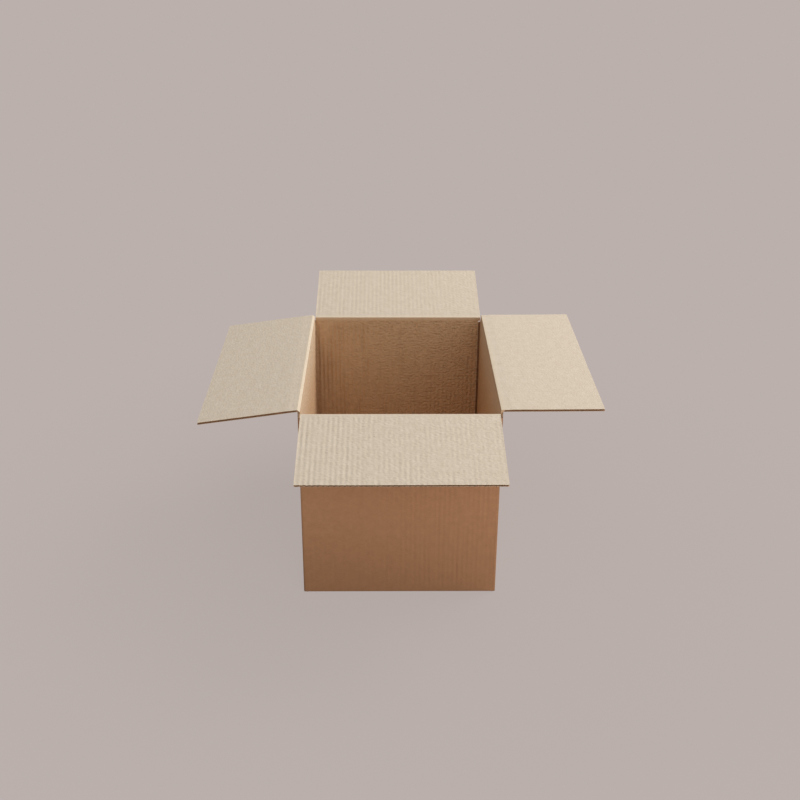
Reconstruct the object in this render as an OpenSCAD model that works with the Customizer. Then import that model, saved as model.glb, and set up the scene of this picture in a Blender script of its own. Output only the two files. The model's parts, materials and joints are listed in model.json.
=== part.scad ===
// Regular slotted carton of single-wall corrugated board, standing open with its
// four top flaps folded outward. The carton is one slotted and creased sheet: four
// walls, a glue lap down one upright corner, four bottom flaps glued shut in two
// layers, and four top flaps that turn on their creases.
// X runs left to right, Y front to back, Z up. The origin is the middle of the base.

/* [Inside size] */
// Width between the left and right walls
inside_w = 300; // [200:5:400]
// Length between the front and back walls
inside_l = 400; // [300:5:600]
// Height between the bottom flaps and the closed top flaps
inside_h = 305; // [150:5:450]

/* [Board] */
// Thickness of the whole board
board_t = 4; // [3:0.1:5]
// Thickness of each flat outer sheet
liner_t = 0.4; // [0.2:0.05:0.6]
// Thickness of the wavy middle sheet
medium_t = 0.3; // [0.2:0.05:0.5]
// Distance from one flute to the next
flute_pitch = 7.5; // [6:0.1:9]

/* [Creases and slots] */
// Outer radius of the upright corners
corner_r = 4; // [2:0.25:6]
// Inner radius of the upright corners
inner_corner_r = 0.8; // [0.4:0.1:2]
// Outer radius of the bottom folds
fold_r = 2.2; // [1:0.1:3.5]
// How far a short bottom flap's fold hangs below it, into the slot beside the long flap
fold_drop = 2; // [0:0.25:2.5]
// How much thinner than elsewhere the board is at a top crease, where it is pressed
crease_press = 0.6; // [0:0.1:2]
// How much further from a top crease than its own thickness the pressed board reaches
crease_run = 0.4; // [0.4:0.1:3]
// Width of the strip beside a flap's crease where the flutes are crushed shut
crush_w = 9; // [8.5:0.5:14]
// Clearance at each end of a short flap when it is shut between the side walls
flap_end_gap = 0.4; // [0.2:0.1:2]
// Clearance left at each half of a crease's bevel when the flap is shut
bevel_gap = 0.2; // [0.1:0.05:0.5]
// Clearance between the two layers of shut top flaps
layer_gap = 0.3; // [0.2:0.1:1]
// Gap between the free edges of the two long flaps when they are shut
meet_gap = 3; // [1:0.5:8]

/* [Glue lap] */
// Width of the lap from the upright corner
lap_w = 36; // [25:1:50]
// Thickness of the pressed lap
lap_t = 3; // [1.5:0.25:4]
// Distance that each end of the lap stops short of the wall's end
lap_end_gap = 3; // [2:0.5:12]
// How much lower the lap's end is at its free edge than at the corner
lap_taper = 9; // [4:0.5:14]
// Width of the slit between the back wall's cut edge and the right wall
slit_w = 3.5; // [1:0.1:4.5]

/* [Flap angles] */
// Angle of the front flap below level
front_angle = 13; // [-60:0.5:60]
// Angle of the back flap below level
back_angle = -13.5; // [-60:0.5:60]
// Angle of the left flap below level
left_angle = 8; // [-60:0.5:60]
// Angle of the right flap below level
right_angle = -0.5; // [-60:0.5:60]

/* [Hidden] */
$fn = 64;
OUTER_COLOR = "#a8805a";
INNER_COLOR = "#cdb394";
// How far solids run into each other where they are joined
join = 1;
// How far cutting solids run past what they cut
over = 2;

outer_w = inside_w + 2 * board_t;
outer_l = inside_l + 2 * board_t;
// Each slot is centred on an upright corner, and clears the wall that it passes
slot_half = board_t + flap_end_gap;
short_flap_w = outer_w - 2 * slot_half;
long_flap_w = outer_l - 2 * slot_half;

// Thickness of the board at a top crease, and distance from there to its full thickness
crease_t = board_t - crease_press;
crease_slope = board_t + crease_run;

// Heights of the creases. Short flaps fold inside long ones, a board lower or higher.
floor_z = 2 * board_t;
short_crease_z = floor_z + inside_h + board_t;
long_crease_z = short_crease_z + board_t + layer_gap;
bottom_crease_z = board_t;
// The top slots are cut down to where the walls begin to thin towards the short creases
top_slot_z = short_crease_z - crease_slope;

// All free edges lie on one line of the sheet, so a lower crease gives a longer flap
long_flap_len = (outer_w - meet_gap) / 2;
short_flap_len = long_flap_len + long_crease_z - short_crease_z;
bottom_short_len = long_flap_len + board_t;

// The wave of the middle sheet
wave_amp = (board_t - 2 * liner_t - medium_t) / 2;
function wave(phase) = board_t / 2 + wave_amp * cos(360 * phase);

// Phases at which a flute's curved side is drawn, either side of its middle
FLUTE_PHASES = [-0.27, -0.11, 0.11, 0.27];
// Phase at which a flute's corner meets the flat sheet
FLUTE_CORNER = 0.39;

// Outline of one hollow flute, in the section across the flutes. A side of 1 gives the
// hollows under the upper sheet, and -1 those over the lower sheet.
module flute(index, side) {
    sheet_y = board_t / 2 + side * (board_t / 2 - liner_t);
    middle = side > 0 ? 0.5 : 0;
    wall = side * medium_t / 2;
    curve = [for (p = FLUTE_PHASES) [p * flute_pitch, wave(middle + p) + wall]];
    corners = [[FLUTE_CORNER * flute_pitch, sheet_y], [-FLUTE_CORNER * flute_pitch, sheet_y]];
    translate([(index + middle) * flute_pitch, 0])
        polygon(concat(curve, corners));
}

// Section across the flutes of a panel: two flat sheets with the wavy one between them
module board_section(width) {
    flutes_half = ceil(width / flute_pitch / 2);
    difference() {
        translate([-width / 2, 0])
            square([width, board_t]);
        for (index = [-flutes_half:flutes_half])
            for (side = [-1, 1])
                flute(index, side);
    }
}

// A top flap lying level, with its crease along X at the origin and its free edge
// towards +Y. The flutes run from the crushed strip to the free edge.
module flap(width, length) {
    root = [
        [bevel_gap, 0],
        [crush_w, 0],
        [crush_w, board_t],
        [crease_slope, board_t],
        [crease_t + bevel_gap, crease_t]
    ];
    translate([-width / 2, 0, 0])
        rotate([90, 0, 90])
            linear_extrude(width)
                polygon(root);
    translate([0, length, 0])
        rotate([90, 0, 0])
            linear_extrude(length - crush_w)
                board_section(width);
}

// Puts a flap on its crease: reach is the crease's distance from the middle of the
// carton, turn is the side of the carton, and angle is the flap's angle below level
module place_flap(reach, height, turn, angle) {
    rotate([0, 0, turn])
        translate([0, reach, height])
            rotate([-angle, 0, 0])
                children();
}

// Rectangle with round corners, centred on the origin
module rounded_rect(size, r) {
    square([size.x - 2 * r, size.y], center = true);
    square([size.x, size.y - 2 * r], center = true);
    for (x = [-1, 1], y = [-1, 1])
        translate([x * (size.x / 2 - r), y * (size.y / 2 - r)])
            circle(r);
}

// The four walls between the slots' ends, with round upright corners
module wall_tube() {
    translate([0, 0, bottom_crease_z])
        linear_extrude(top_slot_z - bottom_crease_z)
            difference() {
                rounded_rect([outer_w, outer_l], corner_r);
                rounded_rect([inside_w, inside_l], inner_corner_r);
            }
}

// Top of one wall between its slots. It thins towards the pressed crease at crease_z, and
// ends in a bevel, so that the flap can fold shut on it.
// Drawn for the back wall, with its outer face at Y = reach.
module wall_top(reach, width, crease_z) {
    low = top_slot_z - join;
    translate([-width / 2, reach, 0])
        rotate([90, 0, 90])
            linear_extrude(width)
                polygon([
                    [-board_t, low],
                    [0, low],
                    [0, crease_z - bevel_gap],
                    [-crease_t, crease_z - crease_t - bevel_gap],
                    [-board_t, crease_z - crease_slope]
                ]);
}

// Bottom of one wall and the glued flap that turns in from it at crease_z, with the
// rounded fold between them, which hangs down by drop below the flap. Drawn for the back
// wall, with its outer face at Y = reach.
module bottom_fold(reach, width, crease_z, length, drop) {
    rise = bottom_crease_z + board_t + join - crease_z;
    translate([width / 2, reach, crease_z])
        rotate([90, 0, -90])
            linear_extrude(width) {
                translate([fold_r, 0])
                    square([length - fold_r, board_t]);
                translate([0, fold_r - drop])
                    square([board_t, rise - fold_r + drop]);
                translate([0, fold_r - drop])
                    square([2 * fold_r, drop + join]);
                translate([fold_r, fold_r - drop])
                    circle(fold_r);
            }
}

// The lap turned round the back right corner and glued to the back wall's outer face
module glue_lap() {
    low = bottom_crease_z + lap_end_gap;
    high = top_slot_z - lap_end_gap;
    edge_x = outer_w / 2;
    wall_y = outer_l / 2;
    free_x = edge_x - lap_w;
    intersection() {
        translate([0, 0, low])
            linear_extrude(high - low) {
                translate([free_x, wall_y - join])
                    square([lap_w - corner_r, lap_t + join]);
                translate([edge_x - board_t, wall_y - corner_r - join])
                    square([board_t, lap_t + join]);
                translate([edge_x - corner_r, wall_y + lap_t - corner_r])
                    circle(corner_r);
            }
        translate([0, wall_y + lap_t + over, 0])
            rotate([90, 0, 0])
                linear_extrude(lap_t + corner_r + 2 * over + join)
                    polygon([
                        [free_x, low + lap_taper],
                        [edge_x - board_t, low],
                        [edge_x + over, low],
                        [edge_x + over, high],
                        [edge_x - board_t, high],
                        [free_x, high - lap_taper]
                    ]);
    }
}

// Open slit beside the right wall where the back wall's cut edge stops short of it
module lap_slit() {
    translate([inside_w / 2 - slit_w, inside_l / 2 - over, bottom_crease_z - over])
        cube([slit_w, board_t + over, short_crease_z]);
}

// The folded sheet without its top flaps: walls, glue lap and shut bottom
module carton_body() {
    color(OUTER_COLOR) {
        difference() {
            union() {
                wall_tube();
                for (turn = [0, 180])
                    rotate([0, 0, turn]) {
                        wall_top(outer_l / 2, short_flap_w, short_crease_z);
                        bottom_fold(
                            outer_l / 2, short_flap_w, bottom_crease_z, bottom_short_len, fold_drop
                        );
                    }
                for (turn = [90, 270])
                    rotate([0, 0, turn]) {
                        wall_top(outer_w / 2, long_flap_w, long_crease_z);
                        bottom_fold(outer_w / 2, long_flap_w, 0, long_flap_len, 0);
                    }
            }
            lap_slit();
        }
        glue_lap();
    }
}

module front_flap() {
    color(INNER_COLOR)
        place_flap(outer_l / 2, short_crease_z, 180, front_angle)
            flap(short_flap_w, short_flap_len);
}

module back_flap() {
    color(INNER_COLOR)
        place_flap(outer_l / 2, short_crease_z, 0, back_angle)
            flap(short_flap_w, short_flap_len);
}

module left_flap() {
    color(INNER_COLOR)
        place_flap(outer_w / 2, long_crease_z, 90, left_angle)
            flap(long_flap_w, long_flap_len);
}

module right_flap() {
    color(INNER_COLOR)
        place_flap(outer_w / 2, long_crease_z, 270, right_angle)
            flap(long_flap_w, long_flap_len);
}

carton_body();
front_flap();
back_flap();
left_flap();
right_flap();
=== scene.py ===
"""Looks of an open corrugated carton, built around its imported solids.

The carton is one sheet of single-wall board. Every piece is drawn in the sheet's own
coordinates first, across and along the flutes, and then folded to its place.
"""

import json
import math

import bmesh
import bpy
from mathutils import Matrix, Vector, noise


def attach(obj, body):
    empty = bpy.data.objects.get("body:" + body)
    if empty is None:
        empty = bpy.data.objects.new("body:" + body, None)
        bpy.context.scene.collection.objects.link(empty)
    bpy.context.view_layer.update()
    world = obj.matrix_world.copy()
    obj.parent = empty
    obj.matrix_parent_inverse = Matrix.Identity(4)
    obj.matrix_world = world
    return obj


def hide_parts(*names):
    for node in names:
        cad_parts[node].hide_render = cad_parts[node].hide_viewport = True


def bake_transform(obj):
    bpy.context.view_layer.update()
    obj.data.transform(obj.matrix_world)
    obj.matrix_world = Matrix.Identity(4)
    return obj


bl_info = {
    "name": "Open corrugated carton",
    "version": (1, 0, 0),
    "blender": (4, 5, 0),
    "location": "3D View > Sidebar > Carton",
    "description": "Builds the looks of an open corrugated carton around its packed solids",
    "category": "Add Mesh",
}

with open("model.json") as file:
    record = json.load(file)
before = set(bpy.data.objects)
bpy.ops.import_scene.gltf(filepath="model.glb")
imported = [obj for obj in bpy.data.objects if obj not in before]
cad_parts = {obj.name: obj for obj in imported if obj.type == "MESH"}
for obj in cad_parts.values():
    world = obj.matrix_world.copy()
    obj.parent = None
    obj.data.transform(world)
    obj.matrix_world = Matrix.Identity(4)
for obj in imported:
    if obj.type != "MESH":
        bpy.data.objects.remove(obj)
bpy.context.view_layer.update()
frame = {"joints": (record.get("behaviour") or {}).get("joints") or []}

MM = 0.001
# Turn of each side about the upright axis, from the back wall
TURNS = {"back": 0, "left": 90, "front": 180, "right": 270}
CREASES = {joint["child"]: joint for joint in frame["joints"]}
# Part of a flap's length that its waves take up
TAKE_UP = 0.2 * MM
# Slots of each piece's materials. The inside slot holds the walls' inner liner, coloured darker
# and browner than the flaps' liner as painted shade.
INNER, OUTER, CUT, INSIDE = 0, 1, 2, 3

# Width of the narrow strip of faces along a liner's cut edge, and along the wavy sheet's
EDGE, MEDIUM_EDGE = 0.8 * MM, 0.4 * MM
# Columns of faces to one flute: in a flap's liners, its wavy sheet, a crease and a wall
LINER_COLUMNS, MEDIUM_COLUMNS, CREASE_COLUMNS, WALL_COLUMNS = 6, 10, 2, 4
# Steps along a flap, past its crushed strip: its inner liner, outer liner and wavy sheet
INNER_STEPS, OUTER_STEPS, MEDIUM_STEPS = 84, 16, 14
# Steps of the inner liner from the bevel to the board's full thickness
ROOT_STEPS = 5
# Distance from a flap's crease to where its flutes are whole
CRUSH = 9 * MM
# Start of a flap's outer liner beside the crease, in bevel gaps
OUTER_START = 1.8
# Distances from a flap's crease between which the marks on its liners rise
FLAP_MARKS = (3 * MM, 12 * MM)
# The same below a wall's top crease and above its bottom one
TOP_MARKS, BOTTOM_MARKS = (2 * MM, 15 * MM), (4 * MM, 14 * MM)
# Deepest notch in a flap's rough cut edge
NOTCH = 0.25 * MM

# Sizes of the lumps in each kind of mark, across and along the flutes. Those of the
# puckers are turned by SLANT.
RIDGE_PATCH = (14 * MM, 90 * MM)
PUCKER_LUMP = (4 * MM, 7 * MM)
WRINKLE_LUMP = (70 * MM, 9 * MM)
WAVE_LUMP = (150 * MM, 110 * MM)
NOTCH_LUMP = (3 * MM, 3 * MM)
# How much the ridges' strength varies from place to place
RIDGE_VARIETY = 1.1
# Direction in which the slanting puckers are narrow, across and along the flutes
SLANT = (0.6, 0.8)
# Slope of the wrinkles, which run almost straight across the flutes
TILT = 0.1
# What the lumps and the wrinkles each add to the puckers
LUMP_SHARE, WRINKLE_SHARE = 0.6, 0.4
# Ridges and puckers of the outer liner, against those of the inner one
OUTER_RIDGES, OUTER_PUCKERS = 1.45, 0.45
# Share of a flap's length over which its long waves rise
WAVE_RISE = 0.6

# Place of the point in the middle of a crease's inner side: its share of the corner that
# the wall and the flap make there
TURN_REACH = 0.8
# Paleness of the liner that is stretched over a crease, partly rubbed fibre and partly a
# painted highlight, and the sheet's run to one row there
CREASE_WEAR_AND_HIGHLIGHT, CREASE_ROW = 0.5, 2 * MM
# Distances from an inner corner between which its pressed groove deepens
GROOVE_RUN = (3.5 * MM, 0.5 * MM)
# Depth of the groove at the corner itself, against its full depth beside it
CORNER_GROOVE = 0.7
# Faces in a quarter turn of an upright corner, and along the glue lap
CORNER_STEPS, LAP_STEPS = 6, 16
# Run of the slope between a wall's inside and the bottom flap
INNER_FOLD = 1.5 * MM
# Angles in degrees above which an edge of the board, or of a crease, is drawn sharp
SHARP, CREASE_SHARP = 40, 30
# Distances under which two points are made one: in the walls at first, and elsewhere
WELD, FINE_WELD = 1e-6, 1e-7
# Strongest painted light at the top of the long walls' inside, and how far down it reaches
TOP_PAINTED_LIGHT, TOP_PAINTED_LIGHT_RUN = 0.8, 110 * MM
# Painted highlight along the back wall's cut edge, and the distances from that edge between
# which it grows
SLIT_HIGHLIGHT, SLIT_HIGHLIGHT_RUN = 0.6, (3 * MM, 1 * MM)


def linear(code):
    """The linear colour, with alpha, of an sRGB hex code."""
    parts = [int(code[i : i + 2], 16) / 255 for i in (1, 3, 5)]
    return (*[p / 12.92 if p <= 0.04045 else ((p + 0.055) / 1.055) ** 2.4 for p in parts], 1.0)


def length(name, description, millimetres):
    """A length property in metres, with its default in millimetres."""
    return bpy.props.FloatProperty(
        name=name, description=description, default=millimetres * MM, min=0.0,
        unit="LENGTH", subtype="DISTANCE",
    )


def colour(name, description, code):
    """A colour property with its default as an sRGB hex code."""
    return bpy.props.FloatVectorProperty(
        name=name, description=description, default=linear(code), size=4,
        min=0.0, max=1.0, subtype="COLOR",
    )


class CartonSizes(bpy.types.PropertyGroup):
    """Sizes of the board and of its folds."""

    board: length("Board", "Thickness of the whole board", 4)
    liner: length("Liner", "Thickness of each flat outer sheet", 0.4)
    medium: length("Medium", "Thickness of the wavy middle sheet", 0.3)
    pitch: length("Flute pitch", "Distance from one flute to the next", 7.5)
    crease: length("Crease", "Thickness of the pressed board at a top crease", 3.4)
    slope: length("Slope", "Distance from a crease to the board's full thickness", 4.4)
    bevel_gap: length("Bevel gap", "Clearance at each half of a crease's bevel", 0.2)
    slot_half: length("Half slot", "Half of the width cut away at each corner", 4.4)
    meet_gap: length("Meeting gap", "Gap between the long flaps when they are shut", 3)
    corner: length("Corner radius", "Outer radius of the upright corners", 4)
    fold: length("Fold radius", "Outer radius of the bottom folds", 2.2)
    fold_drop: length("Fold drop", "How far a short bottom fold hangs below its flap", 2)
    lap: length("Lap width", "Width of the glue lap from the upright corner", 36)
    lap_board: length("Lap thickness", "Thickness of the pressed glue lap", 3)
    lap_gap: length("Lap end gap", "Distance from the lap's ends to the wall's ends", 3)
    lap_taper: length("Lap taper", "How much lower the lap is at its free edge", 9)
    slit: length("Slit", "Gap between the back wall's cut edge and the right wall", 3.5)


class CartonSurface(bpy.types.PropertyGroup):
    """How deep the marks on the board's two faces are."""

    ridge: length("Ridges", "Sag of the liner between two flute tips", 0.4)
    pucker: length("Puckers", "Height of the fine puckers in the liner", 0.5)
    wave: length("Waves", "Height of the long waves in a panel", 0.6)
    groove: length("Groove", "Depth of the pressed groove in each inner corner", 2.2)
    ease: length("Ease", "Length over which the board thins towards a top crease", 12)


class CartonColours(bpy.types.PropertyGroup):
    """Colours of the papers."""

    inner: colour("Flap liner", "Pale liner on the flaps' inner face", "#D6C8B5")
    inner_dark: colour("Flap mottling", "Darker fibres of the flaps' liner", "#C6B6A1")
    # The walls' inner liner is the same paper as the flaps' inner liner. It is coloured darker
    # and browner as painted shade, for the shade and the brown bounce light inside the box.
    inside: colour("Inside liner", "Browner liner on the walls' inner face", "#D5B08A")
    inside_dark: colour("Inside mottling", "Darker fibres of the inside liner", "#C29D76")
    outer: colour("Outer liner", "Brown liner on the outside", "#C6946D")
    outer_dark: colour("Outer mottling", "Darker fibres of the outer liner", "#B4845F")
    medium: colour("Medium", "Brown paper of the flutes", "#86664A")
    # This pale colour also paints highlights along the creases, on the upper inside of the long
    # walls and along the back wall's cut edge.
    rubbed_and_highlight: colour("Rubbed fibres", "Raw fibres along edges and creases", "#E2CDB0")
    specks: colour("Specks", "Dark specks in the recycled paper", "#6B5540")
    # Painted shade: the outside is darkened towards its base with this colour
    painted_base_shade: colour("Soil", "Floor dirt on the lowest part of the outside", "#865E3E")
    ground: colour("Background", "Pale grey ground behind the carton", "#BBB0AC")


class CartonStage(bpy.types.PropertyGroup):
    """Camera and lights."""

    lens: bpy.props.FloatProperty(
        name="Lens", description="Focal length in millimetres", default=50.83
    )
    camera: bpy.props.FloatVectorProperty(
        name="Camera", description="Place of the camera", default=(-0.0210, -1.7230, 1.0531),
        unit="LENGTH", subtype="TRANSLATION",
    )
    yaw: bpy.props.FloatProperty(
        name="Yaw", description="Turn of the camera to the right",
        default=math.radians(0.759), unit="ROTATION", subtype="ANGLE",
    )
    pitch: bpy.props.FloatProperty(
        name="Pitch", description="How far the camera looks down",
        default=math.radians(25.05), unit="ROTATION", subtype="ANGLE",
    )
    roll: bpy.props.FloatProperty(
        name="Roll", description="Turn of the camera about its own line of sight",
        default=math.radians(0.285), unit="ROTATION", subtype="ANGLE",
    )
    back_light: bpy.props.FloatProperty(
        name="Back light", description="Power of the light high up at the back right",
        default=177.0, unit="POWER",
    )
    front_light: bpy.props.FloatProperty(
        name="Front light", description="Power of the low light behind the camera",
        default=25.5, unit="POWER",
    )
    high_light: bpy.props.FloatProperty(
        name="High light", description="Power of the light above the camera", default=5.5,
        unit="POWER",
    )
    sky: bpy.props.FloatProperty(
        name="Sky", description="Strength of the light from all round", default=0.285
    )


class Panel:
    """One side of the carton: its crease, its size, and the matrices that fold it."""

    def __init__(self, side, sizes):
        crease = CREASES[side + "_flap"]
        place = Vector(crease["pos_m"])
        self.side = side
        self.short = side in ("front", "back")
        self.reach = max(abs(place.x), abs(place.y))
        self.crease_z = place.z
        self.angle = math.radians(crease["range_deg"][1] - 180)
        others = [c["pos_m"] for c in CREASES.values()]
        across = max(abs(p[0] if self.short else p[1]) for p in others)
        self.half = across - sizes.slot_half
        long_z = max(p[2] for p in others)
        short_z = min(p[2] for p in others)
        outer_half = max(abs(p[0]) for p in others)
        self.length = outer_half - sizes.meet_gap / 2 - TAKE_UP
        if self.short:
            self.length += long_z - short_z
        self.bottom_z = sizes.board if self.short else 0.0
        self.bottom_length = outer_half - sizes.meet_gap / 2 + self.bottom_z
        self.fold_drop = sizes.fold_drop if self.short else 0.0
        self.turn = Matrix.Rotation(math.radians(TURNS[side]), 4, "Z")
        self.crease = self.turn @ Matrix.Translation((0, self.reach, self.crease_z))
        self.flap = self.crease @ Matrix.Rotation(-self.angle, 4, "X")
        # Distance along the sheet from the middle of the back wall
        order = list(TURNS).index(side)
        self.sheet = order * (outer_half + max(abs(p[1]) for p in others))


def smooth(value, low, high):
    """A smooth step from 0 at low to 1 at high."""
    t = min(max((value - low) / (high - low), 0.0), 1.0)
    return t * t * (3 - 2 * t)


def ripples(x, y, seed, across, along):
    """Noise between -1 and 1, with lumps of those two sizes."""
    return noise.noise(Vector((x / across, y / along, seed)))


# Marks of each face: the strength of its ridges at its two ends in local X, that of its
# puckers at both, and where between the ends (-1 to 1) the one gives way to the other.
# Ridges on real board are a few tenths of a millimetre deep at most. They are drawn
# deeper, up to 2.7 mm inside the back wall, so that they show in soft light from the front.
FACES = {
    "front_flap": ((0.5, 1.15), (0.85, 0.5), 0.6),
    "back_flap": ((0.56, 0.28), (0.3, 0.5), 0.3),
    "left_flap": ((0.2, 0.2), (0.4, 0.4), 0.0),
    "right_flap": ((0.2, 0.2), (0.35, 0.35), 0.0),
    "back_inside": ((5.0, 2.4), (0.4, 0.9), -0.45),
    "left_inside": ((0.5, 0.5), (0.3, 0.3), 0.0),
    "right_inside": ((0.5, 0.5), (0.3, 0.3), 0.0),
    "front_inside": ((0.5, 0.5), (0.3, 0.3), 0.0),
    "outside": ((1.3, 0.5), (0.5, 0.7), 0.1),
}


def strengths(face, share):
    """Strength of a face's ridges and of its puckers, at that share of its half width."""
    ridge_ends, pucker_ends, middle = FACES[face]
    turn = smooth(share, middle - 0.5, middle + 0.5)
    ridge = ridge_ends[0] + (ridge_ends[1] - ridge_ends[0]) * turn
    pucker = pucker_ends[0] + (pucker_ends[1] - pucker_ends[0]) * turn
    return ridge, pucker


def relief(context, face, x, y, half, outer):
    """How far a liner lies below its level at x across and y along the flutes."""
    sizes, marks = context.scene.carton_sizes, context.scene.carton_surface
    ridge, pucker = strengths(face, x / half)
    phase = math.cos(math.tau * x / sizes.pitch)
    sag = (0.5 + 0.5 * phase) if outer else (0.5 - 0.5 * phase)
    seed = 5.0 if outer else 1.0
    # Some flutes stand out more than others, each for a hand's breadth or so
    ridge *= max(1.0 + RIDGE_VARIETY * ripples(x, y, seed + 4.0, *RIDGE_PATCH), 0.0)
    # Slanting puckers, and long soft wrinkles across the flutes
    a, b = SLANT
    lumps = 0.5 + 0.5 * ripples(a * x + b * y, b * x - a * y, seed, *PUCKER_LUMP)
    lines = 0.5 + 0.5 * ripples(x, y + TILT * x, seed + 2.0, *WRINKLE_LUMP)
    if outer:
        ridge, pucker = OUTER_RIDGES * ridge, OUTER_PUCKERS * pucker
    height = LUMP_SHARE * lumps + WRINKLE_SHARE * lines
    return marks.ridge * ridge * sag + marks.pucker * pucker * height


def surface(columns, rows, place, paint):
    """A new bmesh of a grid of columns by rows points. place gives a point's position,
    sheet coordinates, paleness from rubbed fibre and painted highlight, and puckers, and
    paint gives a face's material slot."""
    bm = bmesh.new()
    sheet = bm.verts.layers.float_vector.new("sheet")
    wear = bm.verts.layers.float.new("wear")
    pucker = bm.verts.layers.float.new("pucker")
    bmesh.ops.create_grid(bm, x_segments=columns - 1, y_segments=rows - 1, size=1.0)
    for face in bm.faces:
        middle = face.calc_center_median()
        column = int((middle.x + 1.0) / 2.0 * (columns - 1))
        row = int((middle.y + 1.0) / 2.0 * (rows - 1))
        face.material_index = paint(column, row)
    for vert in bm.verts:
        column = round((vert.co.x + 1.0) / 2.0 * (columns - 1))
        row = round((vert.co.y + 1.0) / 2.0 * (rows - 1))
        vert.co, vert[sheet], vert[wear], vert[pucker] = place(column, row)
    return bm


def spread(low, high, count):
    """Values from low to high in that many steps."""
    return [low + (high - low) * i / count for i in range(count + 1)]


def stations(half, step, edge):
    """Places across a panel, on the flutes' grid, with a narrow strip at each edge."""
    # The grid ends 0.3 of a step or more short of the strips
    reach = int((half - edge - 0.3 * step) / step)
    inner = [i * step for i in range(-reach, reach + 1)]
    return [-half, edge - half, *inner, half - edge, half]


def add_sheet(whole, part, thickness, matrix, under=False):
    """Gives a drawn sheet its thickness, folds it to its place and adds it to a bmesh.
    The drawn side is the sheet's upper side, or its lower one with under."""
    if under:
        bmesh.ops.reverse_faces(part, faces=part.faces)
    bmesh.ops.solidify(part, geom=part.faces[:], thickness=thickness)
    for face in part.faces:
        if under and abs(face.normal.z) < 0.5:
            face.material_index = CUT
    bmesh.ops.transform(part, matrix=matrix, verts=part.verts)
    mesh = bpy.data.meshes.new("part")
    part.to_mesh(mesh)
    part.free()
    whole.from_mesh(mesh)
    bpy.data.meshes.remove(mesh)


def new_piece(name, bm, materials, sharp=SHARP):
    """Makes a bmesh a shaded object in the scene, with sharp edges above that angle."""
    mesh = bpy.data.meshes.new(name)
    bm.to_mesh(mesh)
    bm.free()
    for material in materials:
        mesh.materials.append(material)
    mesh.shade_smooth()
    mesh.set_sharp_from_angle(angle=math.radians(sharp))
    piece = bpy.data.objects.new(name, mesh)
    bpy.context.scene.collection.objects.link(piece)
    return piece


def add(tree, kind, inputs=(), **settings):
    """Adds one node with its settings. An input is a value or another node's output."""
    node = tree.nodes.new(kind)
    for name, value in settings.items():
        setattr(node, name, value)
    for key, value in dict(inputs).items():
        if isinstance(value, bpy.types.NodeSocket):
            tree.links.new(value, node.inputs[key])
        else:
            node.inputs[key].default_value = value
    return node


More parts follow.
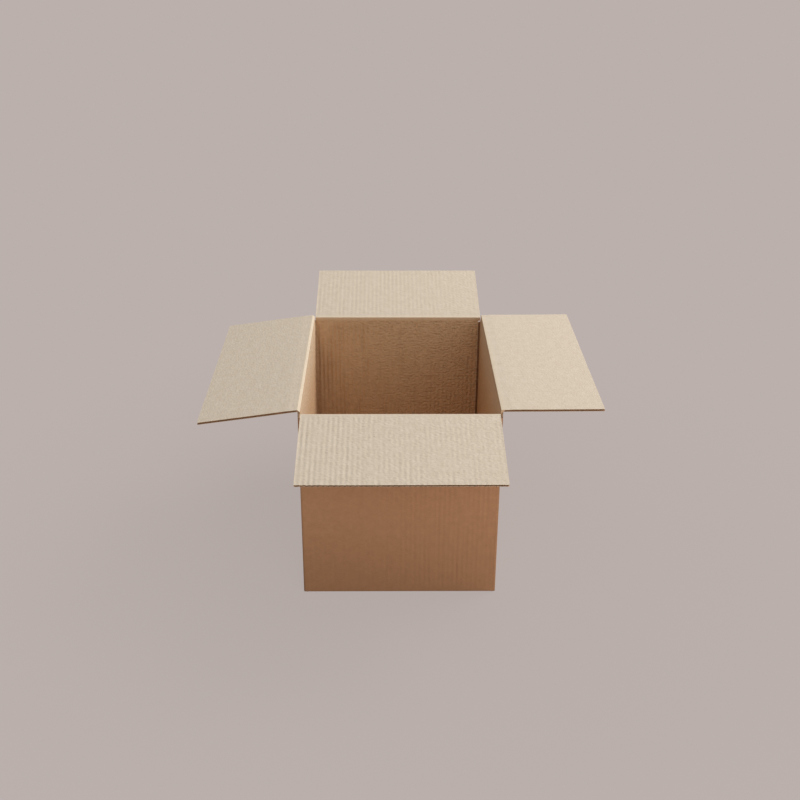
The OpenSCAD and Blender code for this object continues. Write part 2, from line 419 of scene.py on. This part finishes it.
def kraft(name, base, dark, colours, seed, puckers, painted_base_shade):
    """Kraft liner: rough, unglazed paper of long brown fibres, so it has no gloss. Its
    fibres lie across the flutes and clump into soft clouds. Recycled fibre leaves a few
    dark specks. A pale mask whitens the fibres where handling rubs edges, and the same
    mask paints highlights along creases and bright edges. The damp of the glue puckers it
    between the flutes: puckers is how deep. Painted shade darkens the lowest part of the
    outside: the last argument is its share there."""
    material = bpy.data.materials.new(name)
    material.use_nodes = True
    tree = material.node_tree
    tree.nodes.clear()
    sheet = add(tree, "ShaderNodeAttribute", attribute_name="sheet").outputs["Vector"]
    wear = add(tree, "ShaderNodeAttribute", attribute_name="wear").outputs["Fac"]
    # Fibres are 0.3 mm wide and 3 mm long: drawn at 0.8 by 6 mm, so that they show
    fibre_place = add(
        tree, "ShaderNodeMapping",
        {"Vector": sheet, "Location": (seed, 0, 0), "Scale": (170, 1250, 1)},
    ).outputs["Vector"]
    fibres = add(
        tree, "ShaderNodeTexNoise",
        {"Vector": fibre_place, "Scale": 1.0, "Detail": 3.0, "Roughness": 0.6},
    ).outputs["Fac"]
    # Clouds of clumped fibre, 12 mm across
    clouds = add(
        tree, "ShaderNodeTexNoise",
        {"Vector": sheet, "Scale": 1 / (12 * MM), "Detail": 4.0, "Roughness": 0.55},
    ).outputs["Fac"]
    mottle = add(
        tree, "ShaderNodeMix", {"Factor": 0.45, "A": fibres, "B": clouds}, data_type="FLOAT"
    ).outputs["Result"]
    mottle = add(
        tree, "ShaderNodeMapRange", {"Value": mottle, "From Min": 0.32, "From Max": 0.68}
    ).outputs["Result"]
    paper = add(
        tree, "ShaderNodeMix", {"Factor": mottle, "A": dark, "B": base}, data_type="RGBA"
    ).outputs["Result"]
    # One dark grain in each 25 mm cube of space. It shows as a speck up to 1 mm across
    # where the paper meets it, which is about once in 100 mm by 100 mm of paper.
    cells = add(
        tree, "ShaderNodeTexVoronoi", {"Vector": sheet, "Scale": 1 / (25 * MM)}
    ).outputs["Distance"]
    spots = add(
        tree, "ShaderNodeMapRange",
        {"Value": cells, "From Min": 0.012, "From Max": 0.028, "To Min": 0.7, "To Max": 0.0},
    ).outputs["Result"]
    paper = add(
        tree, "ShaderNodeMix", {"Factor": spots, "A": paper, "B": colours.specks},
        data_type="RGBA",
    ).outputs["Result"]
    if painted_base_shade:
        # Painted shade darkens the outside towards the base, up to 170 mm up the walls
        height = add(tree, "ShaderNodeSeparateXYZ", {"Vector": sheet}).outputs["Y"]
        base_shade_mask = add(
            tree, "ShaderNodeMapRange",
            {"Value": height, "From Max": 170 * MM, "To Min": painted_base_shade, "To Max": 0.0},
            interpolation_type="SMOOTHSTEP",
        ).outputs["Result"]
        paper = add(
            tree, "ShaderNodeMix", {"Factor": base_shade_mask, "A": paper, "B": colours.painted_base_shade},
            data_type="RGBA",
        ).outputs["Result"]
    # Where the liner is worn, its raised fibres turn pale first. The same paling paints
    # highlights along creases and bright edges.
    fray = add(
        tree, "ShaderNodeMapRange",
        {"Value": fibres, "From Min": 0.3, "From Max": 0.6, "To Min": 0.35, "To Max": 0.9},
    ).outputs["Result"]
    fibre_and_highlight_mask = add(tree, "ShaderNodeMath", {0: wear, 1: fray}, operation="MULTIPLY").outputs[0]
    paper = add(
        tree, "ShaderNodeMix", {"Factor": fibre_and_highlight_mask, "A": paper, "B": colours.rubbed_and_highlight},
        data_type="RGBA",
    ).outputs["Result"]
    rough = add(
        tree, "ShaderNodeMapRange",
        {"Value": clouds, "From Min": 0.3, "From Max": 0.7, "To Min": 0.82, "To Max": 0.95},
    ).outputs["Result"]
    # Puckers 5 mm across the flutes and 3.5 mm along them
    rows = add(
        tree, "ShaderNodeMapping", {"Vector": sheet, "Scale": (1 / (5 * MM), 1 / (3.5 * MM), 1)}
    ).outputs["Vector"]
    lumps = add(
        tree, "ShaderNodeTexNoise",
        {"Vector": rows, "Scale": 1.0, "Detail": 0.5, "Distortion": 0.2},
    ).outputs["Fac"]
    swell = add(tree, "ShaderNodeAttribute", attribute_name="pucker").outputs["Fac"]
    lumps = add(tree, "ShaderNodeMath", {0: lumps, 1: swell}, operation="MULTIPLY").outputs[0]
    bump = add(
        tree, "ShaderNodeBump", {"Height": lumps, "Strength": 1.0, "Distance": puckers}
    ).outputs["Normal"]
    bump = add(
        tree, "ShaderNodeBump",
        {"Height": fibres, "Strength": 0.5, "Distance": 0.12 * MM, "Normal": bump},
    ).outputs["Normal"]
    shader = add(
        tree, "ShaderNodeBsdfPrincipled",
        {"Base Color": paper, "Roughness": rough, "Normal": bump, "Specular IOR Level": 0.25},
    )
    add(tree, "ShaderNodeOutputMaterial", {"Surface": shader.outputs["BSDF"]})
    return material


def paper_materials(context):
    """The papers of the board, made once: the flaps' inner liner, the outer liner, the
    medium, and the walls' inner liner, which is the flaps' paper coloured darker and
    browner as painted shade."""
    colours = context.scene.carton_colours
    papers = {
        "kraft_liner_inner": (colours.inner, colours.inner_dark, 3.0, 1.1 * MM, 0.0),
        # The outer liner's last number is the share of painted shade at the base of the outside
        "kraft_liner_outer": (colours.outer, colours.outer_dark, 11.0, 0.6 * MM, 0.3),
        "fluting_medium": (colours.medium, colours.outer_dark, 23.0, 0.1 * MM, 0.0),
        "kraft_liner_inside": (colours.inside, colours.inside_dark, 17.0, 3.6 * MM, 0.0),
    }
    return [
        bpy.data.materials.get(name) or kraft(name, base, dark, colours, seed, puckers, painted_base_shade)
        for name, (base, dark, seed, puckers, painted_base_shade) in papers.items()
    ]


def flap_level(context, y):
    """Level of a flap's inner liner at y from its crease: pressed thin at the crease."""
    sizes = context.scene.carton_sizes
    start = sizes.crease + sizes.bevel_gap
    end = start + context.scene.carton_surface.ease
    return sizes.crease + (sizes.board - sizes.crease) * smooth(y, start, end)


def flap_bend(context, panel, x, y):
    """How far a whole flap sags below flat at a point."""
    wave = context.scene.carton_surface.wave
    lumps = 0.5 + 0.5 * ripples(x, y, 9.0 + TURNS[panel.side], *WAVE_LUMP)
    return wave * lumps * smooth(y, 0.0, WAVE_RISE * panel.length)


def flap_liner(context, panel, inner):
    """One of a flap's two flat sheets, drawn lying level."""
    sizes = context.scene.carton_sizes
    across = stations(panel.half, sizes.pitch / LINER_COLUMNS, EDGE)
    if inner:
        root = spread(sizes.crease + sizes.bevel_gap, sizes.slope, ROOT_STEPS)
    else:
        root = [OUTER_START * sizes.bevel_gap, FLAP_MARKS[0]]
    body = spread(CRUSH, panel.length - EDGE, INNER_STEPS if inner else OUTER_STEPS)
    along = [*root, *body, panel.length]
    face = panel.side + "_flap"

    def place(column, row):
        x, y = across[column], along[row]
        level = flap_level(context, y) if inner else 0.0
        depth = relief(context, face, x, y, panel.half, not inner)
        depth *= smooth(y, *FLAP_MARKS)
        z = level - depth if inner else level + depth
        rim = min(panel.half - abs(x), panel.length - y)
        wear = smooth(EDGE - rim, 0.0, EDGE)
        cut = NOTCH * abs(ripples(x, y, 4.0, *NOTCH_LUMP))
        y_cut = y - cut if y >= panel.length else y
        point = Vector((x, y_cut, z - flap_bend(context, panel, x, y)))
        pucker = strengths(face, x / panel.half)[1]
        return point, Vector((panel.sheet - x, panel.crease_z + y, 0.0)), wear, pucker

    return surface(len(across), len(along), place, lambda c, r: INNER if inner else OUTER)


def flap_medium(context, panel):
    """A flap's wavy sheet, drawn lying level between the two flat ones."""
    sizes = context.scene.carton_sizes
    across = stations(panel.half, sizes.pitch / MEDIUM_COLUMNS, MEDIUM_EDGE)
    # One row more in the crushed strip, where the wave begins to grow
    root = [sizes.crease + sizes.bevel_gap, 6 * MM]
    along = [*root, *spread(CRUSH, panel.length, MEDIUM_STEPS)]

    def place(column, row):
        x, y = across[column], along[row]
        low, high = sizes.liner, flap_level(context, y) - sizes.liner
        swing = max((high - low - sizes.medium) / 2, 0.0)
        z = (low + high) / 2 + swing * math.cos(math.tau * x / sizes.pitch) + sizes.medium / 2
        point = Vector((x, y, z - flap_bend(context, panel, x, y)))
        return point, Vector((panel.sheet - x, panel.crease_z + y, 0.5)), 0.0, 0.0

    return surface(len(across), len(along), place, lambda c, r: CUT)


def build_flap(context, side):
    """Builds one top flap as three glued sheets, open at the ends of its flutes."""
    sizes = context.scene.carton_sizes
    panel = Panel(side, sizes)
    bm = bmesh.new()
    add_sheet(bm, flap_liner(context, panel, True), sizes.liner, panel.flap)
    add_sheet(bm, flap_liner(context, panel, False), sizes.liner, panel.flap, True)
    add_sheet(bm, flap_medium(context, panel), sizes.medium, panel.flap)
    piece = new_piece(side + "_flap_board", bm, paper_materials(context))
    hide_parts(side + "_flap")
    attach(piece, side + "_flap")


def crease_section(sizes, panel):
    """Section of the bent board about a crease, seen along it, with the paper of each
    stretch: the wall's bevel, the turn of the inner liner, and the flap's bevel. The turn
    has a point of its own only where the flap shuts by less than a half turn. Past that
    the point would stand out of the shut carton, instead of folding away inside."""
    depth = sizes.crease
    tuck = 2 * sizes.bevel_gap
    sink = 0.1 * tuck
    wall = [(-sink, -tuck), (-depth, -depth - tuck), (-depth, 0)]
    wall = [Vector((0, *p)) for p in wall]
    lean = Matrix.Rotation(-panel.angle, 3, "X")
    flap = [(0, depth), (depth + tuck, depth), (tuck, sink)]
    flap = [lean @ Vector((0, *p)) for p in flap]
    if panel.angle > 0:
        return [*wall, *flap], [CUT, INSIDE, INNER, INNER, CUT, OUTER]
    corner = TURN_REACH * (wall[-1] + flap[0])
    return [*wall, corner, *flap], [CUT, INSIDE, INSIDE, INNER, INNER, CUT, OUTER]


def build_crease(context, side):
    """Builds the bent strip of board between a wall and its flap."""
    sizes = context.scene.carton_sizes
    panel = Panel(side, sizes)
    section, papers = crease_section(sizes, panel)
    across = stations(panel.half, sizes.pitch / CREASE_COLUMNS, EDGE)
    loop = [*section, section[0]]

    def place(column, row):
        x = across[column]
        point = loop[row] + Vector((x, 0, 0))
        # The liner stretched over the turn is paler: partly rubbed fibre, partly a painted
        # highlight
        wear = CREASE_WEAR_AND_HIGHLIGHT if 2 <= row <= len(section) - 3 else 0.0
        spot = Vector((panel.sheet - x, panel.crease_z + CREASE_ROW * row, 0.0))
        return point, spot, wear, 0.0

    bm = surface(len(across), len(loop), place, lambda column, row: papers[row])
    bmesh.ops.remove_doubles(bm, verts=bm.verts, dist=FINE_WELD)
    bmesh.ops.holes_fill(bm, edges=bm.edges, sides=0)
    bmesh.ops.recalc_face_normals(bm, faces=bm.faces)
    bmesh.ops.transform(bm, matrix=panel.crease, verts=bm.verts)
    piece = new_piece(side + "_crease", bm, paper_materials(context), CREASE_SHARP)
    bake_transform(piece)


class Column:
    """One upright line of the walls: its two faces' places, seen from above, its place
    on the sheet, and its lowest and highest point."""

    def __init__(self, outer, inner, sheet, low, high, panel=None, x=0.0):
        self.outer, self.inner = outer, inner
        self.sheet, self.low, self.high = sheet, low, high
        self.panel, self.x = panel, x

    def at(self, depth, board):
        """The place at that depth below the outer face."""
        return self.outer + (self.inner - self.outer) * (depth / board)


def wall_columns(context):
    """The upright lines of the walls and the glue lap, once round the carton."""
    sizes, marks = context.scene.carton_sizes, context.scene.carton_surface
    panels = {side: Panel(side, sizes) for side in TURNS}
    slot_low = sizes.board
    slot_high = panels["back"].crease_z - sizes.slope
    far, near = GROOVE_RUN
    columns = []
    for side, panel in panels.items():
        turn = panel.turn.to_2x2()
        straight = panel.half + sizes.slot_half - sizes.corner
        across = stations(panel.half, sizes.pitch / WALL_COLUMNS, EDGE)
        inner_half = panel.half + sizes.slot_half - sizes.board
        start = inner_half - sizes.slit if side == "back" else panel.half
        places = [x for x in reversed(across) if x < start]
        runs = [(start, True), *[(x, True) for x in places]]
        if side != "back":
            runs = [(straight, False), (start, False), *runs]
        runs += [(-panel.half, False)]
        if side != "right":
            runs += [(-straight, False)]
        for x, whole in runs:
            groove = marks.groove * smooth(abs(x), inner_half - far, inner_half - near)
            if side == "right" and x < 0 or side == "back" and x > 0:
                groove = 0.0
            outer = turn @ Vector((x, panel.reach))
            inner = turn @ Vector((x, panel.reach - sizes.board + groove))
            low, high = (slot_low, slot_high) if not whole else (None, None)
            columns.append(Column(outer, inner, panel.sheet - x, low, high, panel, x))
        if side == "right":
            break
        # The round corner to the next side
        centre = turn @ Vector((-straight, panel.reach - sizes.corner))
        inner_corner = turn @ Vector((-inner_half, panel.reach - sizes.board))
        outward = turn @ Vector((-1, 1))
        inner = inner_corner + outward * (CORNER_GROOVE * marks.groove)
        for step in range(1, CORNER_STEPS):
            angle = math.radians(90 / CORNER_STEPS * step)
            spoke = turn @ Vector((-math.sin(angle), math.cos(angle)))
            outer = centre + sizes.corner * spoke
            sheet = panel.sheet + straight + 2 * sizes.corner * step / CORNER_STEPS
            columns.append(Column(outer, inner, sheet, slot_low, slot_high))
    columns += lap_columns(sizes, panels, slot_low, slot_high)
    return columns


def lap_columns(sizes, panels, slot_low, slot_high):
    """The upright lines of the glue lap, from the end of the right wall round the corner
    and over the outside of the back wall."""
    right, back = panels["right"], panels["back"]
    low, high = slot_low + sizes.lap_gap, slot_high - sizes.lap_gap
    lap_y = back.reach + sizes.lap_board
    centre = Vector((right.reach - sizes.corner, lap_y - sizes.corner))
    inner_x = right.reach - sizes.board
    sheet = right.sheet + centre.y
    outer, inner = Vector((right.reach, centre.y)), Vector((inner_x, centre.y))
    columns = [Column(outer, inner, sheet, slot_low, slot_high)]
    for step in range(CORNER_STEPS + 1):
        angle = math.radians(90 / CORNER_STEPS * step)
        outer = centre + sizes.corner * Vector((math.cos(angle), math.sin(angle)))
        rise = sizes.lap_board * step / CORNER_STEPS
        inner = Vector((inner_x, min(centre.y + rise, back.reach)))
        columns.append(Column(outer, inner, sheet + sizes.corner * angle, low, high))
    straight = sizes.lap - sizes.corner
    for share in spread(0.0, 1.0, LAP_STEPS)[1:]:
        x = centre.x - straight * share
        taper = sizes.lap_taper * share
        outer, inner = Vector((x, lap_y)), Vector((x, back.reach))
        end = sheet + sizes.corner * math.pi / 2 + straight * share
        columns.append(Column(outer, inner, end, low + taper, high - taper))
    return columns


# Rows of a wall's section, from the bottom flap's free edge up the inside, over the top
# and down the outside: how many steps each stretch has
FLOOR_ROWS, INSIDE_ROWS, SLOPE_ROWS, OUTSIDE_ROWS, FOLD_ROWS, UNDER_ROWS = 6, 44, 6, 30, 5, 6


def wall_section(context, panel):
    """The section of a wall and its bottom flap: depth below the outer face, height, and
    the face that each point lies on."""
    sizes = context.scene.carton_sizes
    board, top, bottom = sizes.board, panel.crease_z, panel.bottom_z
    fold, low = sizes.fold, bottom - panel.fold_drop
    ease = sizes.crease + context.scene.carton_surface.ease
    rows = []
    for depth in spread(panel.bottom_length, board + INNER_FOLD, FLOOR_ROWS):
        rows.append((depth, bottom + board, "floor"))
    for z in spread(bottom + board + INNER_FOLD, top - ease, INSIDE_ROWS):
        rows.append((board, z, "inside"))
    tip = top - sizes.crease - sizes.bevel_gap
    for z in spread(top - ease, tip, SLOPE_ROWS)[1:]:
        rise = smooth(z, top - ease, tip)
        rows.append((board + (sizes.crease - board) * rise, z, "slope"))
    for z in spread(top - sizes.bevel_gap, low + fold, OUTSIDE_ROWS):
        rows.append((0.0, z, "outside"))
    for turn in spread(0.0, math.pi / 2, FOLD_ROWS)[1:]:
        rows.append((fold * (1 - math.cos(turn)), low + fold * (1 - math.sin(turn)), "fold"))
    # Past the fold the board rises again to its flap's level
    rows.append((2 * fold, bottom, "under"))
    for depth in spread(4 * fold, panel.bottom_length, UNDER_ROWS - 1):
        rows.append((depth, bottom, "under"))
    rows.append(rows[0])
    return rows


def build_walls(context):
    """Builds the four walls, the glue lap and the shut bottom as one folded board."""
    sizes = context.scene.carton_sizes
    columns = wall_columns(context)
    sections = {side: wall_section(context, Panel(side, sizes)) for side in TURNS}
    board = sizes.board
    edge = max(c.x for c in columns if c.panel and c.panel.side == "back")
    lap_start = 1 + max(i for i, c in enumerate(columns) if c.panel)
    top_row = FLOOR_ROWS + INSIDE_ROWS + SLOPE_ROWS + 2
    last_row = len(sections["back"]) - 1

    def place(index, row):
        column = columns[index]
        side = column.panel.side if column.panel else "back"
        depth, z, part = sections[side][row]
        inward = part in ("floor", "inside", "slope")
        # Along the bottom flaps the sheet runs on below the walls
        spot = Vector((column.sheet, z - depth, 0.0))
        wear = 0.0
        if part in ("inside", "slope"):
            # Painted light: the long walls' inside is paler near the top, and the back wall's
            # cut edge has a painted highlight
            if side in ("left", "right"):
                top = column.panel.crease_z
                wear = TOP_PAINTED_LIGHT * smooth(z, top - TOP_PAINTED_LIGHT_RUN, top)
            elif side == "back" and column.panel and column.low is None:
                far, near = SLIT_HIGHLIGHT_RUN
                wear = SLIT_HIGHLIGHT * smooth(column.x, edge - far, edge - near)
        if column.low is not None:
            # Cut off at the slots, or at the lap's ends
            point = (column.inner if inward else column.outer).to_3d()
            point.z = min(max(z, column.low), column.high)
            if part in ("floor", "fold", "under"):
                point.z = column.low
            return point, spot, wear, 0.0
        panel, x = column.panel, column.x
        face = "outside" if part == "outside" else panel.side + "_inside"
        if part in ("inside", "slope", "outside"):
            sink = relief(context, face, x, z, panel.half, part == "outside")
            ends = smooth(panel.crease_z - z, *TOP_MARKS)
            ends *= smooth(z - panel.bottom_z, *BOTTOM_MARKS)
            depth += sink * ends * (1 if part == "outside" else -1)
        pucker = strengths(face, x / panel.half)[1]
        return column.at(depth, board).to_3d() + Vector((0, 0, z)), spot, wear, pucker

    def paint(index, row):
        if columns[index].sheet == columns[index + 1].sheet or row == last_row - 1:
            return CUT
        # The lap's inner paper, glued to the back wall, is painted the dark medium colour as
        # painted shade where it shows in the slit
        if index >= lap_start and row < top_row - 1:
            return CUT
        if row == top_row - 1 and columns[index].low is not None:
            return CUT
        return INSIDE if row < top_row - 1 else OUTER

    bm = surface(len(columns), last_row + 1, place, paint)
    bmesh.ops.remove_doubles(bm, verts=bm.verts, dist=WELD)
    bmesh.ops.dissolve_degenerate(bm, edges=bm.edges, dist=FINE_WELD)
    bmesh.ops.holes_fill(bm, edges=bm.edges, sides=0)
    bmesh.ops.recalc_face_normals(bm, faces=bm.faces)
    piece = new_piece("carton_sleeve", bm, paper_materials(context))
    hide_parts("carton_body")
    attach(piece, "root")


def plainly_seen(tree):
    """Adds nodes that tell whether a ray comes from the camera, from a glossy face or
    through glass, and so meets the plain grey."""
    path = add(tree, "ShaderNodeLightPath").outputs
    seen = path["Is Camera Ray"]
    for ray in ("Is Glossy Ray", "Is Transmission Ray"):
        seen = add(tree, "ShaderNodeMath", {0: seen, 1: path[ray]}, operation="MAXIMUM")
        seen = seen.outputs[0]
    return seen


def ground_material(context):
    """Matt painted ground: it shows its own pale grey to the camera, and the carton's
    soft shadow is laid over that."""
    grey = context.scene.carton_colours.ground
    material = bpy.data.materials.new("matt_paint_ground")
    material.use_nodes = True
    tree = material.node_tree
    tree.nodes.clear()
    seen = plainly_seen(tree)
    # The shadow fades out between 0.3 and 0.9 m from the middle of the base
    place = add(tree, "ShaderNodeTexCoord").outputs["Object"]
    reach = add(tree, "ShaderNodeVectorMath", {0: place}, operation="LENGTH").outputs["Value"]
    share = add(
        tree, "ShaderNodeMapRange",
        {"Value": reach, "From Min": 0.3, "From Max": 0.9, "To Min": 0.85, "To Max": 1.0},
    ).outputs["Result"]
    share = add(tree, "ShaderNodeMath", {0: seen, 1: share}, operation="MULTIPLY")
    glow = add(tree, "ShaderNodeEmission", {"Color": grey, "Strength": 1.0})
    matt = add(tree, "ShaderNodeBsdfDiffuse", {"Color": grey, "Roughness": 1.0})
    mixed = add(
        tree, "ShaderNodeMixShader",
        {0: share.outputs[0], 1: matt.outputs[0], 2: glow.outputs[0]},
    )
    add(tree, "ShaderNodeOutputMaterial", {"Surface": mixed.outputs[0]})
    return material


# Half width of the ground, and how far it lies below the carton's base
GROUND_HALF, GROUND_DROP = 12.0, 0.2 * MM
# Place and width of each lamp, and the point that all of them are turned to
LAMPS = {
    "back_light": ((2.6, 1.4, 3.4), 2.4),
    "front_light": ((0.8, -2.7, 0.9), 2.0),
    "high_light": ((0.2, -1.8, 2.6), 1.8),
}
LAMP_AIM = Vector((0, 0, 0.2))
# Width of the camera's film, in millimetres
FILM = 36.0


def build_ground(context):
    """Builds the floor that the carton stands on."""
    bm = bmesh.new()
    bmesh.ops.create_grid(bm, x_segments=1, y_segments=1, size=GROUND_HALF)
    bmesh.ops.translate(bm, verts=bm.verts, vec=(0, 0, -GROUND_DROP))
    mesh = bpy.data.meshes.new("ground")
    bm.to_mesh(mesh)
    bm.free()
    mesh.materials.append(ground_material(context))
    ground = bpy.data.objects.new("ground", mesh)
    context.scene.collection.objects.link(ground)


def build_sky(context):
    """Lights the carton evenly from all round, behind a plain grey backdrop."""
    world = bpy.data.worlds.new("studio")
    world.use_nodes = True
    tree = world.node_tree
    tree.nodes.clear()
    white, grey = (1.0, 1.0, 1.0, 1.0), context.scene.carton_colours.ground
    sky = context.scene.carton_stage.sky
    light = add(tree, "ShaderNodeBackground", {"Color": white, "Strength": sky})
    shown = add(tree, "ShaderNodeBackground", {"Color": grey, "Strength": 1.0})
    mixed = add(
        tree, "ShaderNodeMixShader",
        {0: plainly_seen(tree), 1: light.outputs[0], 2: shown.outputs[0]},
    )
    add(tree, "ShaderNodeOutputWorld", {"Surface": mixed.outputs[0]})
    context.scene.world = world


def build_lamp(context, name):
    """Hangs one of the square soft lights at its place, turned to the carton."""
    data = bpy.data.lights.new(name, "AREA")
    data.shape = "SQUARE"
    place, data.size = LAMPS[name]
    data.energy = getattr(context.scene.carton_stage, name)
    lamp = bpy.data.objects.new(name, data)
    lamp.location = place
    aim = LAMP_AIM - lamp.location
    lamp.rotation_euler = aim.to_track_quat("-Z", "Y").to_euler()
    context.scene.collection.objects.link(lamp)


def build_camera(context):
    """Sets the camera at the photographer's place."""
    stage = context.scene.carton_stage
    data = bpy.data.cameras.new("camera")
    data.lens = stage.lens
    data.sensor_width = FILM
    camera = bpy.data.objects.new("camera", data)
    turn = Matrix.Rotation(-stage.yaw, 4, "Z")
    turn = turn @ Matrix.Rotation(math.pi / 2 - stage.pitch, 4, "X")
    turn = turn @ Matrix.Rotation(stage.roll, 4, "Z")
    camera.matrix_world = Matrix.Translation(stage.camera) @ turn
    context.scene.collection.objects.link(camera)
    context.scene.camera = camera


class CARTON_OT_walls(bpy.types.Operator):
    """Build the walls, the glue lap and the shut bottom"""

    bl_idname = "carton.walls"
    bl_label = "Walls and bottom"

    def execute(self, context):
        build_walls(context)
        return {"FINISHED"}


class CARTON_OT_flaps(bpy.types.Operator):
    """Build the four top flaps with their open flutes"""

    bl_idname = "carton.flaps"
    bl_label = "Top flaps"

    def execute(self, context):
        for side in TURNS:
            build_flap(context, side)
        return {"FINISHED"}


class CARTON_OT_creases(bpy.types.Operator):
    """Build the bent strips that join the flaps to the walls"""

    bl_idname = "carton.creases"
    bl_label = "Creases"

    def execute(self, context):
        for side in TURNS:
            build_crease(context, side)
        return {"FINISHED"}


class CARTON_OT_stage(bpy.types.Operator):
    """Set the ground, the lights and the camera"""

    bl_idname = "carton.stage"
    bl_label = "Stage"

    def execute(self, context):
        context.scene.view_settings.view_transform = "Standard"
        build_ground(context)
        build_sky(context)
        for name in LAMPS:
            build_lamp(context, name)
        build_camera(context)
        return {"FINISHED"}


class CARTON_PT_panel(bpy.types.Panel):
    """Sizes, surface, colours and pieces of the carton"""

    bl_idname = "CARTON_PT_panel"
    bl_label = "Carton"
    bl_space_type = "VIEW_3D"
    bl_region_type = "UI"
    bl_category = "Carton"

    def draw(self, context):
        for group_name in GROUPS:
            group = getattr(context.scene, group_name)
            column = self.layout.column()
            for name in group.bl_rna.properties.keys():
                if name not in ("rna_type", "name"):
                    column.prop(group, name)
        for operator in OPERATORS:
            self.layout.operator(operator.bl_idname)


GROUPS = {
    "carton_sizes": CartonSizes,
    "carton_surface": CartonSurface,
    "carton_colours": CartonColours,
    "carton_stage": CartonStage,
}
OPERATORS = (CARTON_OT_walls, CARTON_OT_flaps, CARTON_OT_creases, CARTON_OT_stage)


def register():
    """Adds the property groups, the operators and the panel."""
    for name, group in GROUPS.items():
        bpy.utils.register_class(group)
        setattr(bpy.types.Scene, name, bpy.props.PointerProperty(type=group))
    for operator in OPERATORS:
        bpy.utils.register_class(operator)
    bpy.utils.register_class(CARTON_PT_panel)


def unregister():
    """Takes them out again."""
    bpy.utils.unregister_class(CARTON_PT_panel)
    for operator in reversed(OPERATORS):
        bpy.utils.unregister_class(operator)
    for name, group in reversed(GROUPS.items()):
        delattr(bpy.types.Scene, name)
        bpy.utils.unregister_class(group)


def main():
    """Builds the carton and its stage."""
    register()
    bpy.ops.carton.walls()
    bpy.ops.carton.flaps()
    bpy.ops.carton.creases()
    bpy.ops.carton.stage()


if __name__ == "__main__":
    main()
